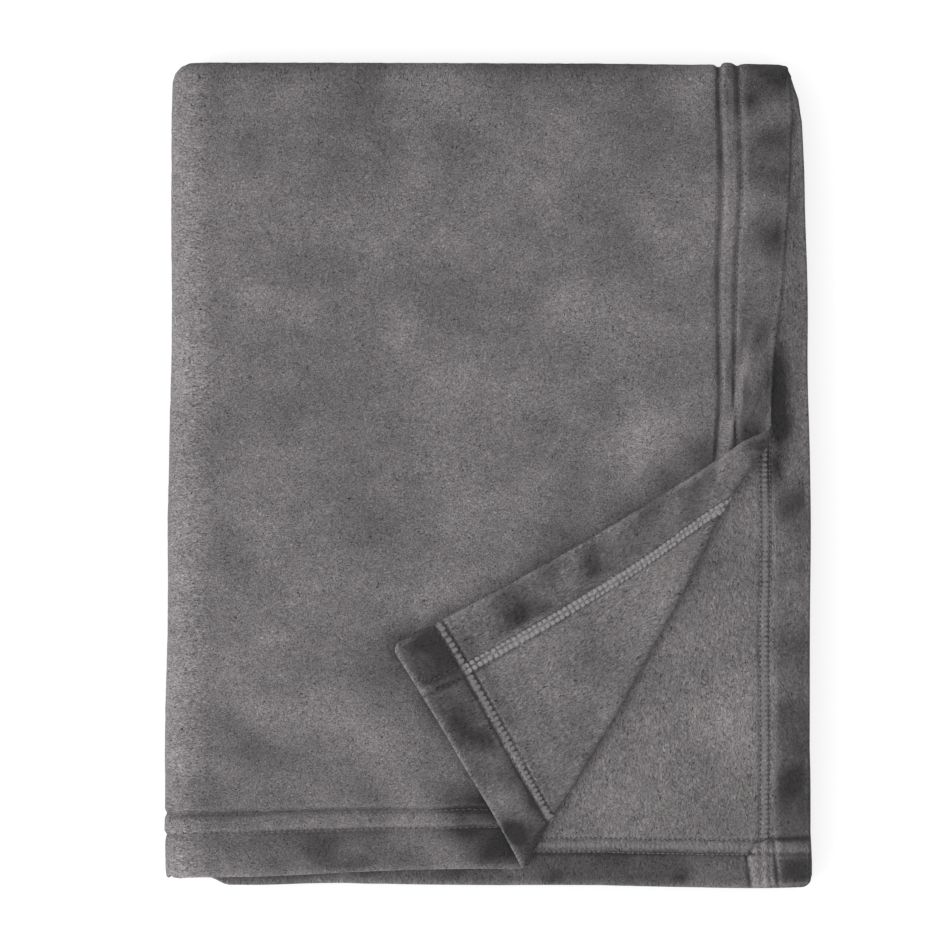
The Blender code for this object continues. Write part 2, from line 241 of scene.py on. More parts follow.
def set_values(obj, name, values):
    """Stores one number at each vertex for the material to read."""
    attribute = obj.data.attributes.new(name, "FLOAT", "POINT")
    attribute.data.foreach_set("value", np.asarray(values, np.float32))


def round_edge(distance, radius):
    """Share of the cloth's thickness left at a distance inside its edge."""
    t = np.clip(distance / radius, 0, 1)
    return 0.12 + 0.88 * np.sqrt(np.clip(1 - (1 - t) ** 2, 0, 1))


def normals_of(grid):
    """Unit normals of a grid of points."""
    along = np.gradient(grid, axis=1)
    across = np.gradient(grid, axis=0)
    normal = np.cross(along, across)
    return normal / np.maximum(np.linalg.norm(normal, axis=2, keepdims=True), 1e-12)


# ---------------------------------------------------------------- hems: their relief and their tone

SIDE, FRONT = "side", "front"  # the two kinds of seam
# Distances of a seam's two lines from the hem's edge
FACE_SEAM = {SIDE: (37.5 * MM, 27.2 * MM), FRONT: (35.0 * MM, 24.0 * MM)}
TOP_BACK_SEAM = {SIDE: (30.6 * MM, 24.8 * MM), FRONT: (30.3 * MM, 25.3 * MM)}
REST_BACK_SEAM = {SIDE: (27.2 * MM, 22.4 * MM), FRONT: (26.3 * MM, 18.6 * MM)}
STITCH = 3.2 * MM  # one stitch of the top layer's seams
SECOND_STITCH = 2.7 * MM  # one stitch of the second layer's seams
CORNER_RADIUS = 5.5 * MM


class Hems:
    """The hems of a piece of cloth: how far its points are from each hemmed edge."""

    def __init__(self, edges, back_seam):
        self.edges = edges  # name, axis, coordinate of the edge, way inward, kind of seam
        self.back_seam = back_seam

    def distances(self, x, y):
        for name, axis, edge, inward, kind in self.edges:
            along = y if axis == 0 else x
            across = ((x if axis == 0 else y) - edge) * inward
            yield name, kind, across, along

    def relief(self, x, y, on_face):
        """Height of the seams' grooves and the soft swell between them, with a tone of painted shade in
        grooves and dimples and painted highlight on swells and edges.
        """
        height = np.zeros(x.shape)
        tone = np.zeros(x.shape)
        for name, kind, across, along in self.distances(x, y):
            seed = sum(map(ord, name))
            inner, outer = (FACE_SEAM if on_face else self.back_seam)[kind]
            wander = 0.5 * MM * ripples(along, along * 0, 0.09, seed, 4)
            reach = across + wander
            pucker = 1 + 0.30 * ripples(along, across, 0.013, seed + 1)
            groove_in = bump((reach - inner) / (3.0 * MM if on_face else 1.8 * MM))
            groove_out = bump((reach - outer) / (2.4 * MM if on_face else 1.8 * MM))
            band = smooth((inner - reach) / (3 * MM)) * smooth((reach - outer) / (3 * MM))
            strip = smooth((outer - reach) / (5 * MM)) * smooth(reach / (5 * MM))
            inside = smooth((inner + 14 * MM - reach) / (12 * MM)) * smooth((reach - inner) / (4 * MM))
            dimples = np.clip(ripples(along, across * 0.8, 0.034, seed + 2) - 0.35, 0, 1.4)
            # The tone paints shade into the grooves and dimples and a highlight onto the swollen band; the
            # hem strip is a little darker.
            if on_face:
                height += -1.15 * MM * groove_in * pucker - 0.55 * MM * groove_out * pucker
                height += 1.0 * MM * band * pucker + 0.6 * MM * strip - 0.65 * MM * strip * dimples
                height += 0.25 * MM * inside * pucker
                tone += -0.30 * groove_in - 0.14 * groove_out + 0.05 * band
                tone += -0.09 * strip - 0.24 * strip * dimples
            else:
                height += -0.55 * MM * groove_in * pucker - 0.55 * MM * groove_out * pucker
                height += 0.45 * MM * band + 0.35 * MM * strip - 0.60 * MM * strip * dimples
                tone += -0.20 * groove_in - 0.20 * groove_out + 0.10 * band
                tone += -0.06 * strip - 0.28 * strip * dimples
            # Painted highlight along the rounded edge of the hem.
            tone += 0.16 * bump((across - 1.0 * MM) / (3.0 * MM))
        return height, tone

    def rounded(self, x, y):
        """Rounds the plan corner where two hemmed edges meet."""
        x, y = x.copy(), y.copy()
        for _, axis_a, edge_a, way_a, _ in self.edges:
            for _, axis_b, edge_b, way_b, _ in self.edges:
                if axis_a != 0 or axis_b != 1:
                    continue
                p = np.clip(1 - (x - edge_a) * way_a / CORNER_RADIUS, 0, 1)
                q = np.clip(1 - (y - edge_b) * way_b / CORNER_RADIUS, 0, 1)
                x = x + way_a * CORNER_RADIUS * p * (1 - np.sqrt(1 - q * q / 2))
                y = y + way_b * CORNER_RADIUS * q * (1 - np.sqrt(1 - p * p / 2))
        return x, y

    def round_share(self, x, y):
        share = np.ones(x.shape)
        for _, _, across, _ in self.distances(x, y):
            share = np.minimum(share, round_edge(across, 1.9 * MM))
        return share


# ---------------------------------------------------------------- the top layer and its turned corner

TOP_SIDE_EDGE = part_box("top_side_hem_01")[1].x - HALF_WIDTH
TOP_FRONT_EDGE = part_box("top_front_hem_01")[0].y + HALF_DEPTH
TOP_MIDDLE = TOP_Z - PITCH / 2
FLAP_REACH = 0.121  # from the crease to the turned corner's point
FLAP_GAP = 1.7 * MM  # room between the turned corner and the layer it lies on
OPEN_SIDE_Y = 0.0365  # where the crease meets the side hem


def pull_in(x, y):
    """How far the top layer's open side is drawn in beside the turned corner."""
    at = np.array([-0.235, -0.19, -0.12, -0.06, -0.02, 0.005, 0.015, 0.022, 0.030, 0.037,
                   0.05, 0.063, 0.080, 0.096, 0.123, 0.150, 0.19, 0.23])
    amount = np.array([0, 0.5, 0.3, 3.0, 5.2, 4.0, 3.8, 5.5, 9.0, 10.7,
                       9.9, 8.7, 6.7, 3.9, 1.3, -0.5, -1.4, -1.5]) * MM
    outline = np.minimum(0.1654, CREASE_POINT.x + (y - CREASE_POINT.y) / math.tan(math.radians(60)))
    return np.interp(y, at, amount) * smooth(1 - (outline - x) / 0.042)


def pleat(x, y):
    """The drawn-in side stands up beside the crease as a soft fold, steep on its left."""
    at = np.array([0.0, 0.016, 0.0275, 0.040, 0.051, 0.062, 0.074, 0.086, 0.100])
    centres = np.array([0.1290, 0.1310, 0.1345, 0.1405, 0.1418, 0.1450, 0.1485, 0.1535, 0.158])
    centre = np.interp(y, at, centres)
    size = smooth((0.094 - y) / 0.040) * smooth((y + 0.010) / 0.020)
    step = smooth((x - centre) / (3.4 * MM) + 0.5) * (1 - 0.30 * np.clip((x - centre) / 0.026, 0, 1) ** 2)
    crown = np.exp(-((x - centre - 2.5 * MM) / (3.4 * MM)) ** 2)
    hollow = np.exp(-((x - centre + 5.0 * MM) / (5.0 * MM)) ** 2)
    return size * (2.9 * MM * step + 0.8 * MM * crown - 0.9 * MM * hollow)


def undulation(x, y):
    """Soft waves of the top of the bundle, larger beside the turned corner."""
    flap_edge = (y - 0.0365) - (x - 0.1655) * math.tan(math.radians(30))
    band = np.exp(-((flap_edge - 0.040) / 0.016) ** 2) - 0.7 * np.exp(-((flap_edge - 0.012) / 0.012) ** 2)
    band = band * smooth((x - 0.0) / 0.06) * smooth((0.15 - x) / 0.04)
    left_edge = (x - 0.018) + (y + 0.2185) / math.tan(math.radians(60))
    shade = np.exp(-((left_edge + 0.028) / 0.014) ** 2) - 0.6 * np.exp(-((left_edge + 0.009) / 0.010) ** 2)
    shade = shade * smooth((-0.08 - y) / 0.04) * smooth((y + 0.225) / 0.04)
    return 1.5 * MM * band + 1.1 * MM * shade


def top_rise(x, y):
    """Height of all the soft shapes of the top layer above an even top."""
    end = smooth((0.05 - np.hypot(x - 0.152, y - 0.022)) / 0.05) * 1.2 * MM
    return undulation(x, y) + pleat(x, y) + end


CREASE_TOP = 1.1  # how far round the turn, in radians, the cloth is nearest to the hinge line


def turn_corner(p):
    """Turns what lies beyond the crease over onto the rest. Also gives the turn's angle and the distance."""
    away = p - np.array(CREASE_POINT)
    across = away @ np.array(CREASE_RIGHT)
    along = away @ np.array(CREASE_ALONG)
    share = np.clip((along + 0.147) / 0.294, 0, 1)
    radius = (3.0 + 1.2 * smooth((share - 0.75) / 0.25) + 0.3 * smooth((0.25 - share) / 0.25)) * MM
    start = 0.9 * MM - radius - PITCH / 2
    beyond = across - start
    angle = np.pi * np.clip(beyond / (np.pi * radius), 0, 1)
    lift = p[:, 2] - TOP_MIDDLE
    after = np.maximum(beyond - np.pi * radius, 0)
    bow = 4.5 * MM * np.sin(np.pi * np.clip(after / FLAP_REACH, 0, 1))
    new_across = np.where(beyond > 0, start + (radius - lift) * np.sin(angle) - after + bow, across)
    settle = (2 * radius - PITCH - FLAP_GAP) * smooth(after / (30 * MM))
    new_height = TOP_MIDDLE + radius - (radius - lift) * np.cos(angle) - settle
    moved = p.copy()
    moved += np.outer(new_across - across, np.array(CREASE_RIGHT))
    moved[:, 2] = np.where(beyond > 0, new_height, p[:, 2])
    return moved, np.where(beyond > 0, angle, 0.0), after, along


def flap_lift(x, y, after, along):
    """How much the turned corner stands off the layer under it: its rim, its tip and its soft swell."""
    tip = smooth((-0.118 - along) / 0.03)
    swell = smooth(after / 0.02) * (0.9 * MM + 0.8 * MM * ripples(x, y, 0.075, 41))
    return np.maximum(swell, 0) + 1.6 * MM * tip + 0.9 * MM * smooth((after - 0.085) / 0.03)


def place_top(x, y, height):
    """Takes points of the top layer, with its turned corner, to the bundle."""
    crisp = fold(x, y, height)
    moved, angle, after, along = turn_corner(crisp)
    px, py = moved[:, 0], moved[:, 1]
    top = crisp[:, 2] > TOP_MIDDLE - PITCH
    rise = top_rise(px, py)
    rise += np.where(angle > 0, flap_lift(px, py, after, along), 0) * smooth(angle / 2)
    moved[:, 2] += np.where(top, rise, 0)
    moved[:, 0] -= np.where(top, pull_in(px, py), 0)
    front = smooth((px + 0.15) / 0.15) * smooth(-(py + 0.15) / 0.06)
    drawn = smooth(1 - np.hypot(px - 0.1655, py - OPEN_SIDE_Y) / 0.036)
    moved[:, 1] += np.where(top, 4.6 * MM * front - 10.5 * MM * drawn, 0)
    return soften(moved), angle


# ---------------------------------------------------------------- the rest of the throw

BACK_ROUNDING_AT = np.array([0.0, 0.068, 0.117, 0.166, 0.194, 0.207, 0.213, 0.220, 0.226])
BACK_ROUNDING = np.array([0.3, 1.7, 2.1, 2.7, 4.2, 6.4, 8.8, 11.0, 12.8]) * MM
FRONT_DRAW_AT = np.array([-0.170, -0.135, -0.100, -0.048, 0.007, 0.061, 0.116, 0.154, 0.172])
FRONT_DRAW = np.array([3.0, 3.8, 3.5, 2.1, 1.6, 2.4, 1.6, 0.6, 0.3]) * MM


def place_rest(x, y, height):
    """Takes points of the throw's other layers to the bundle; the open edges wander from layer to layer."""
    crisp = fold(x, y, height)
    x, y = x.ravel(), y.ravel()
    level = np.clip(crisp[:, 2], 0, STACK) / PITCH
    right = smooth((crisp[:, 0] - 0.06) / (HALF_WIDTH - 0.06))
    front = smooth((-0.1 - crisp[:, 1]) / (HALF_DEPTH - 0.1))
    second = level > 14
    wander = 1.2 * MM * ripples(x * 0.9, y * 0.9, 0.16, 51)
    crisp[:, 0] -= right * np.interp(crisp[:, 1], BACK_ROUNDING_AT, BACK_ROUNDING)
    crisp[:, 0] -= np.where(second, 0, right * (1.4 * MM + wander))
    front_wander = 2.4 * MM + 1.1 * MM * ripples(x, y, 0.15, 52)
    crisp[:, 1] += np.where(second, 0.7 * MM * front, front * front_wander)
    crisp[:, 1] += front * np.interp(crisp[:, 0], FRONT_DRAW_AT, FRONT_DRAW)
    crisp[:, 1] += front * 4 * MM * smooth((-0.141 - crisp[:, 0]) / 0.012)
    hollow = bump(np.hypot(crisp[:, 0] - 0.161, (crisp[:, 1] - 0.030) / 1.8) / 0.026)
    crisp[:, 2] -= 3.0 * MM * hollow * smooth((level - 4) / 11)
    return soften(crisp)


def left_weight(x, p):
    """How far each point follows the upper half when the bundle is opened like a book."""
    angle = np.degrees(np.arctan2(p[:, 2] - LEFT_AXIS.z, LEFT_AXIS.x - p[:, 0]))
    turn = np.clip((angle + 90) / 180, 0, 1)
    x = x.ravel()
    return np.where(x >= LEFT_FOLD.line, 1.0, np.where(x <= LEFT_FOLD.far_end(), 0.0, turn))


def corner_weight(points, level, angle):
    """How far each point follows the turned corner, given its height in the cloth and the crease's turn.

    Open, the corner then lies level with the rest of the top layer. The crease stays between them as a
    low ridge, because its points can only move on circles about the hinge line.
    """
    away = points - np.array(CREASE_POINT)
    across = away @ np.array(CREASE_RIGHT)
    radius = np.maximum(np.hypot(across, away[:, 2]), 0.3 * MM)
    right = angle > CREASE_TOP
    landing = points + np.outer(np.where(right, radius, -radius) - across, np.array(CREASE_RIGHT))
    landing[:, 2] = TOP_MIDDLE
    shapes = top_rise(landing[:, 0] + pull_in(landing[:, 0], landing[:, 1]), landing[:, 1])
    target = soften(landing)[:, 2] + shapes + level - CREASE_POINT.z
    ridge = bump((angle - CREASE_TOP) / 1.0)  # the crease stays in the cloth as a soft ridge
    target = target + ridge * (0.9 * radius - target)
    limit = (0.62 + 0.28 * ridge) * radius
    target = np.clip(target, -limit, limit)
    rise = np.arcsin(np.clip(target / radius, -1, 1))
    bearing = np.arctan2(away[:, 2], across)
    upward = np.where(bearing < -np.pi / 2, bearing + 2 * np.pi, bearing)
    from_left = (bearing + rise) % (2 * np.pi) - np.pi
    turn = np.where(right, upward - rise, from_left)
    full_turn = math.radians(JOINTS["corner_turn"]["range_deg"][1])
    return np.where(angle > 0, turn / full_turn, 0.0)


def set_weights(obj, weights):
    """Bakes the piece's transform into its mesh."""
    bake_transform(obj)


# ---------------------------------------------------------------- materials

def node(tree, kind, **settings):
    made = tree.nodes.new(kind)
    for name, value in settings.items():
        if hasattr(made, name):
            setattr(made, name, value)
        else:
            made.inputs[name.replace("_", " ")].default_value = value
    return made


def math_node(tree, operation, first, second=None, third=None):
    made = tree.nodes.new("ShaderNodeMath")
    made.operation = operation
    for slot, value in enumerate((first, second, third)):
        if value is None:
            continue
        if isinstance(value, (int, float)):
            made.inputs[slot].default_value = value
        else:
            tree.links.new(value, made.inputs[slot])
    return made.outputs[0]


def plush(name, colour, stroke, stretch, turn, sheen, contrast):
    """Short curly pile: strokes of the given length, mottled by how the nap lies, with a soft sheen."""
    material = bpy.data.materials.new(name)
    material.use_nodes = True
    tree = material.node_tree
    shader = tree.nodes["Principled BSDF"]
    shader.inputs["Roughness"].default_value = 0.95
    shader.inputs["Specular IOR Level"].default_value = 0.12
    shader.inputs["Sheen Weight"].default_value = sheen
    shader.inputs["Sheen Roughness"].default_value = 0.5
    shader.inputs["Sheen Tint"].default_value = (1.0, 0.97, 0.96, 1.0)
    place = node(tree, "ShaderNodeUVMap", uv_map="flat")
    mapping = node(tree, "ShaderNodeMapping")
    mapping.inputs["Rotation"].default_value = (0, 0, turn)
    mapping.inputs["Scale"].default_value = (1.0, 1.0 / stretch, 1.0)
    tree.links.new(place.outputs[0], mapping.inputs[0])
    curls = node(tree, "ShaderNodeTexNoise", Scale=1.15 / stroke, Detail=3.0, Roughness=0.62, Distortion=1.9)
    hairs = node(tree, "ShaderNodeTexNoise", Scale=2.6 / stroke, Detail=2.0, Roughness=0.6, Distortion=1.0)
    tufts = node(tree, "ShaderNodeTexNoise", Scale=0.30 / stroke, Detail=2.0, Roughness=0.5, Distortion=0.8)
    for texture in (curls, hairs):
        tree.links.new(mapping.outputs[0], texture.inputs["Vector"])
    tree.links.new(place.outputs[0], tufts.inputs["Vector"])
    ridge = math_node(tree, "ABSOLUTE", math_node(tree, "SUBTRACT", curls.outputs[0], 0.5))
    ridge = math_node(tree, "SUBTRACT", 1.0, math_node(tree, "MULTIPLY", ridge, 5.5))
    fine = math_node(tree, "MULTIPLY", hairs.outputs[0], 0.7)
    relief = math_node(tree, "ADD", math_node(tree, "ADD", ridge, fine), tufts.outputs[0])
    tone = node(tree, "ShaderNodeAttribute", attribute_name="tone")
    light = math_node(tree, "MULTIPLY_ADD", ridge, contrast, 0.86 - 0.5 * contrast)
    hair_light = math_node(tree, "MULTIPLY_ADD", hairs.outputs[0], 2.4 * contrast, -1.2 * contrast)
    light = math_node(tree, "ADD", light, hair_light)
    light = math_node(tree, "ADD", light, math_node(tree, "MULTIPLY_ADD", tufts.outputs[0], 0.45, -0.22))
    # The tone attribute brings nap mottling together with painted light and shade.
    light = math_node(tree, "MULTIPLY", light, math_node(tree, "ADD", tone.outputs["Fac"], 1.0))
    tinted = node(tree, "ShaderNodeVectorMath", operation="SCALE")
    tinted.inputs[0].default_value = colour
    tree.links.new(light, tinted.inputs["Scale"])
    tree.links.new(tinted.outputs[0], shader.inputs["Base Color"])
    raised = node(tree, "ShaderNodeBump", Strength=0.9, Distance=1.1 * MM)
    tree.links.new(relief, raised.inputs["Height"])
    tree.links.new(raised.outputs[0], shader.inputs["Normal"])
    return material


def spun(name, colour):
    """Twisted sewing thread, also used for dark dots of painted shade in the stitch holes."""
    material = bpy.data.materials.new(name)
    material.use_nodes = True
    tree = material.node_tree
    shader = tree.nodes["Principled BSDF"]
    shader.inputs["Roughness"].default_value = 0.7
    shader.inputs["Sheen Weight"].default_value = 0.3
    twist = node(tree, "ShaderNodeTexNoise", Scale=2600.0, Detail=1.0)
    where = node(tree, "ShaderNodeNewGeometry")
    tree.links.new(where.outputs["Position"], twist.inputs["Vector"])
    ramp = node(tree, "ShaderNodeValToRGB")
    ramp.color_ramp.elements[0].color = (*[c * 0.6 for c in colour], 1)
    ramp.color_ramp.elements[1].color = (*[c * 1.3 for c in colour], 1)
    tree.links.new(twist.outputs[0], ramp.inputs[0])
    tree.links.new(ramp.outputs[0], shader.inputs["Base Color"])
    return material


FACE_PILE = plush("plush_face", (0.218, 0.204, 0.208), 2.0 * MM, 1.0, 0.0, 0.10, 1.0)
BACK_PILE = plush("plush_back", (0.218, 0.204, 0.207), 2.3 * MM, 2.0, math.radians(-32), 0.12, 0.80)
LIGHT_THREAD = spun("thread_light", (0.205, 0.195, 0.197))
CHAIN_THREAD = spun("thread_chain", (0.128, 0.121, 0.123))
# Dark dots of painted shade in the stitch holes, not thread.
STITCH_HOLE_SHADE = spun("stitch_hole_shade", (0.030, 0.027, 0.028))


# ---------------------------------------------------------------- building the cloth

def slope_shading(grid, other):
    """Painted light and shade from the slope: lighter where upward-facing cloth faces left and front, darker
    where it faces away.
    """
    normal = normals_of(grid)
    outward = np.sign(np.sum(normal * (grid - other), axis=2, keepdims=True))
    normal = normal * outward
    seen = smooth((normal[:, :, 2] + 0.1) / 0.3)
    left = np.clip(-normal[:, :, 0], -1, 1)
    front = np.clip(-normal[:, :, 1], -1, 1)
    left = np.where(left > 0, 0.62 * left, 0.85 * left)
    return seen * (left + 0.45 * front)


def cloth(name, xs, ys, hems, place, keep=None, extra=None):
    """A closed piece of cloth over grid lines of the flat throw, with its hems' relief, nap tone and painted
    light and shade.
    """
    x, y = np.meshgrid(xs, ys)
    share = hems.round_share(x, y)
    plan_x, plan_y = hems.rounded(x, y)
    broad = ripples(x, y, 0.12, 63, 9)
    patches = ripples(x + 0.02 * broad, y, 0.055, 61, 16)
    small = ripples(x, y, 0.024, 62, 16)
    nap = 0.075 * broad + 0.10 * patches + 0.055 * small
    nap = nap + 0.05 * np.clip(patches - 0.5, 0, 2)
    fuzz = 0.07 * MM * ripples(x, y, 0.0065, 64, 12)
    surfaces, tones, levels = [], [], []
    for on_face in (True, False):
        relief, tone = hems.relief(x, y, on_face)
        if extra is not None:
            more, more_tone = extra(x, y, on_face)
            relief, tone = relief + more, tone + more_tone
        half = (PITCH - GAP) / 2 * share + (relief + fuzz) * share
        height = MIDDLE + (half if on_face else -half)
        levels.append((height - MIDDLE).ravel())
        placed, angle = place(plan_x, plan_y, height)
        surfaces.append(placed.reshape(x.shape + (3,)))
        tones.append(tone + nap * (1.0 if on_face else 0.75))
    # Painted light and shade from the slope of each surface.
    for at in (0, 1):
        slope_light = slope_shading(surfaces[at], surfaces[1 - at])
        if at == 0 and angle is not None:  # the face inside the crease is only seen with the corner open
            slope_light = slope_light * (angle.reshape(x.shape) <= 0)
        tones[at] = np.clip(tones[at] + slope_light, -0.85, 0.9).ravel()
    obj, used = shell(name, surfaces[0], surfaces[1], keep)
    set_values(obj, "tone", np.concatenate(tones)[used])
    flat = np.tile(np.stack([x.ravel(), y.ravel()], axis=1), (2, 1))[used]
    loops = np.zeros(len(obj.data.loops), np.int32)
    obj.data.loops.foreach_get("vertex_index", loops)
    layer = obj.data.uv_layers.new(name="flat")
    layer.data.foreach_set("uv", flat[loops].astype(np.float32).ravel())
    obj.data.materials.append(FACE_PILE)
    obj.data.materials.append(BACK_PILE)
    count = x.size
    first = np.zeros(len(obj.data.polygons), np.int32)
    obj.data.polygons.foreach_get("loop_start", first)
    on_back = np.ones(len(first), bool)
    for step in range(4):
        on_back &= used[loops[first + step]] >= count
    obj.data.polygons.foreach_set("material_index", on_back.astype(np.int32))
    return obj, flat, np.concatenate(levels)[used]


# Patches of the top layer's tone, partly nap that lies over or stands up, partly painted shade and highlight
# beside the turned corner: x, y, radius, change of tone
TOP_NAP_AND_LIGHT_PATCHES = (
    (0.105, 0.185, 0.095, -0.20), (-0.090, 0.190, 0.070, -0.12), (0.010, 0.225, 0.090, -0.10),
    (-0.002, -0.176, 0.034, -0.42), (-0.034, -0.112, 0.040, -0.16), (0.094, 0.018, 0.032, 0.22),
    (0.065, 0.090, 0.060, 0.08), (-0.120, -0.060, 0.080, 0.06), (0.020, 0.045, 0.070, 0.06),
    (0.116, 0.013, 0.018, -0.45), (0.098, 0.001, 0.020, -0.36), (-0.031, -0.062, 0.032, 0.24),
    (-0.012, -0.184, 0.030, -0.34), (0.133, 0.208, 0.022, -0.40), (0.133, 0.143, 0.032, 0.26),
    (0.151, 0.142, 0.020, 0.55), (0.151, 0.200, 0.030, -0.16),
)


def top_extra(x, y, on_face):
    """Painted shade along the turned corner's edges with painted highlight beyond, listed patches, and
    darker mottled hem strips.
    """
    px, py = x + HALF_WIDTH, y - HALF_DEPTH
    off_side = (px - 0.1655) * -0.5 + (py - OPEN_SIDE_Y) * 0.866 + 4 * MM
    along_side = (px - 0.1655) * -0.866 + (py - OPEN_SIDE_Y) * -0.5
    off_front = (px - 0.0183) * -0.866 + (py + 0.2185) * -0.5 + 4 * MM
    along_front = (px - 0.0183) * -0.5 + (py + 0.2185) * 0.866
    by_side = smooth((along_side + 5 * MM) / 0.03) * smooth((0.262 - along_side) / 0.02)
    by_front = smooth((along_front + 5 * MM) / 0.02) * smooth((0.160 - along_front) / 0.02)
    uneven = 1 + 0.35 * ripples(x, y, 0.05, 66)
    # Painted shade in the hollow along the turned corner's side edge, and a painted highlight on the rise
    # beyond it.
    tone = -0.28 * np.exp(-(np.abs(off_side) / (10 * MM)) ** 2) * by_side * uneven
    tone += 0.15 * np.exp(-((off_side - 0.030) / 0.014) ** 2) * by_side * smooth((0.16 - along_side) / 0.06)
    # Painted shade in the hollow along the turned corner's front edge.
    tone += -0.32 * np.exp(-(np.abs(off_front) / (12 * MM)) ** 2) * by_front * uneven
    for patch_x, patch_y, size, amount in TOP_NAP_AND_LIGHT_PATCHES:
        tone += amount * bump(np.hypot(px - patch_x, py - patch_y) / size * (1 + 0.15 * uneven))
    # Painted highlight on the rise beyond the front edge.
    tone += 0.10 * np.exp(-((off_front - 0.040) / 0.016) ** 2) * by_front
    mottle = ripples(x, y, 0.027, 67, 16)
    side_band = smooth((26 * MM - (TOP_SIDE_EDGE - x)) / (5 * MM))
    front_band = smooth((27 * MM - (y - TOP_FRONT_EDGE)) / (5 * MM))
    if not on_face:
        hem = np.maximum((0.24 + 0.19 * mottle) * side_band, (0.46 + 0.17 * mottle) * front_band)
        seam = 0.20 * smooth((42 * MM - (y - TOP_FRONT_EDGE)) / (8 * MM)) * (1 - front_band)
        return np.zeros(x.shape), -0.06 - hem - seam * (1 - side_band)
    tone -= (0.16 + 0.14 * mottle) * side_band * (1 - front_band)
    tone -= (0.36 + 0.16 * mottle) * front_band * smooth((px + 0.128) / 0.016)
    return np.zeros(x.shape), tone


def second_extra(x, y, on_face):
    """The doubled corner of the second layer's hems with its painted highlight and shade, and painted shade
    beside the drawn-in side and along the open hems.
    """
    right = -x
    front = THROW_BACK - y
    if on_face:
        return np.zeros(x.shape), np.zeros(x.shape)
    inside = np.minimum(33 * MM - right + 0.12 * front, 27.5 * MM - front)
    past_corner = np.hypot(np.maximum(right - 24 * MM, 0), np.maximum(front - 18 * MM, 0))
    lobe = np.minimum(inside, 33 * MM - past_corner - 24 * MM)
    lobe = np.where((right > 24 * MM) & (front > 18 * MM), lobe, inside)
    raised = smooth(lobe / (2.2 * MM)) * smooth((front + 1 * MM) / (4 * MM))
    edge = bump(lobe / (1.6 * MM)) * (front < 34 * MM) * (right < 42 * MM)
    line_at = 18.0 * MM + 0.09 * front
    sewn = bump((right - line_at) / (2.0 * MM)) * (front < 29 * MM)
    height = 1.3 * MM * raised - 1.3 * MM * sewn - 0.5 * MM * edge
    # Painted highlight on the raised doubled corner, painted shade in its seam line and along its edge.
    tone = 0.10 * raised - 0.40 * sewn - 0.42 * edge
    px, py = x + HALF_WIDTH, front - HALF_DEPTH
    # Painted shade in the hollow beside the drawn-in side.
    pocket_shade = bump(np.hypot((px - 0.1595) / 0.0115, (py - 0.041) / 0.058))
    pocket_shade = np.maximum(pocket_shade, 0.9 * bump(np.hypot((px - 0.1560) / 0.010, (py - 0.006) / 0.020)))
    # Painted shade along the open front and side hem strips.
    strip = smooth((24 * MM - front) / (5 * MM)) * (1 - 0.8 * raised)
    side_strip = smooth((21 * MM - right) / (6 * MM)) * (0.25 + 0.65 * smooth((0.16 - front) / 0.08))
    shade = 0.54 * strip + 0.34 * side_strip * (1 - strip)
    return height, tone - 0.85 * pocket_shade - shade


def rest_place(x, y, height):
    """The place of the other layers' points. They have no crease, so no turn comes with it."""
    return place_rest(x, y, height), None


def corner_share(obj, flat, level):
    """The corner weight at a piece's points."""
    _, angle = place_top(flat[:, 0], flat[:, 1], MIDDLE)
    return corner_weight(positions(obj), level, angle)


def positions(obj):
    """A mesh's points as an array."""
    found = np.zeros(len(obj.data.vertices) * 3)
    obj.data.vertices.foreach_get("co", found)
    return found.reshape(-1, 3)


def in_corner(x, y):
    """Whether a point of the top layer lies beyond a line just inside the crease."""
    px, py = x + HALF_WIDTH, y - HALF_DEPTH
    across = (px - CREASE_POINT.x) * CREASE_RIGHT.x + (py - CREASE_POINT.y) * CREASE_RIGHT.y
    return across > -12 * MM


def halved(values):
    """The same grid lines with one more in the middle of each gap."""
    return np.sort(np.concatenate([values, (values[1:] + values[:-1]) / 2]))


SEAM_ZONE = 40 * MM
TOP_HEMS = Hems([
    ("side", 0, TOP_SIDE_EDGE, -1, SIDE), ("front", 1, TOP_FRONT_EDGE, 1, FRONT),
], TOP_BACK_SEAM)
REST_HEMS = Hems([
    ("side", 0, 0.0, -1, SIDE), ("front", 1, 0.0, 1, FRONT),
    ("far_side", 0, THROW_LEFT, 1, SIDE), ("back", 1, THROW_BACK, -1, FRONT),
], REST_BACK_SEAM)
LEFT_CUT = LEFT_FOLD.far_end() - 12 * MM
BACK_CUT = BACK_FOLD.far_end() + 12 * MM

top_xs = lines(LEFT_CUT, TOP_SIDE_EDGE, 2.4 * MM, [
    rim(TOP_SIDE_EDGE, -1), (TOP_SIDE_EDGE - SEAM_ZONE, TOP_SIDE_EDGE - 22 * MM, 1.3 * MM)])
top_ys = lines(TOP_FRONT_EDGE, BACK_CUT, 2.4 * MM, [
    rim(TOP_FRONT_EDGE, 1), (TOP_FRONT_EDGE + 22 * MM, TOP_FRONT_EDGE + SEAM_ZONE, 1.3 * MM)])
cell_x, cell_y = np.meshgrid((top_xs[1:] + top_xs[:-1]) / 2, (top_ys[1:] + top_ys[:-1]) / 2)
corner_cells = in_corner(cell_x, cell_y)

top_layer, top_flat, _ = cloth(
    "top_layer", top_xs, top_ys, TOP_HEMS, place_top, ~corner_cells, top_extra)
corner, corner_flat, corner_level = cloth(
    "corner_cloth", halved(top_xs), halved(top_ys), TOP_HEMS, place_top,
    np.repeat(np.repeat(corner_cells, 2, axis=0), 2, axis=1), top_extra)

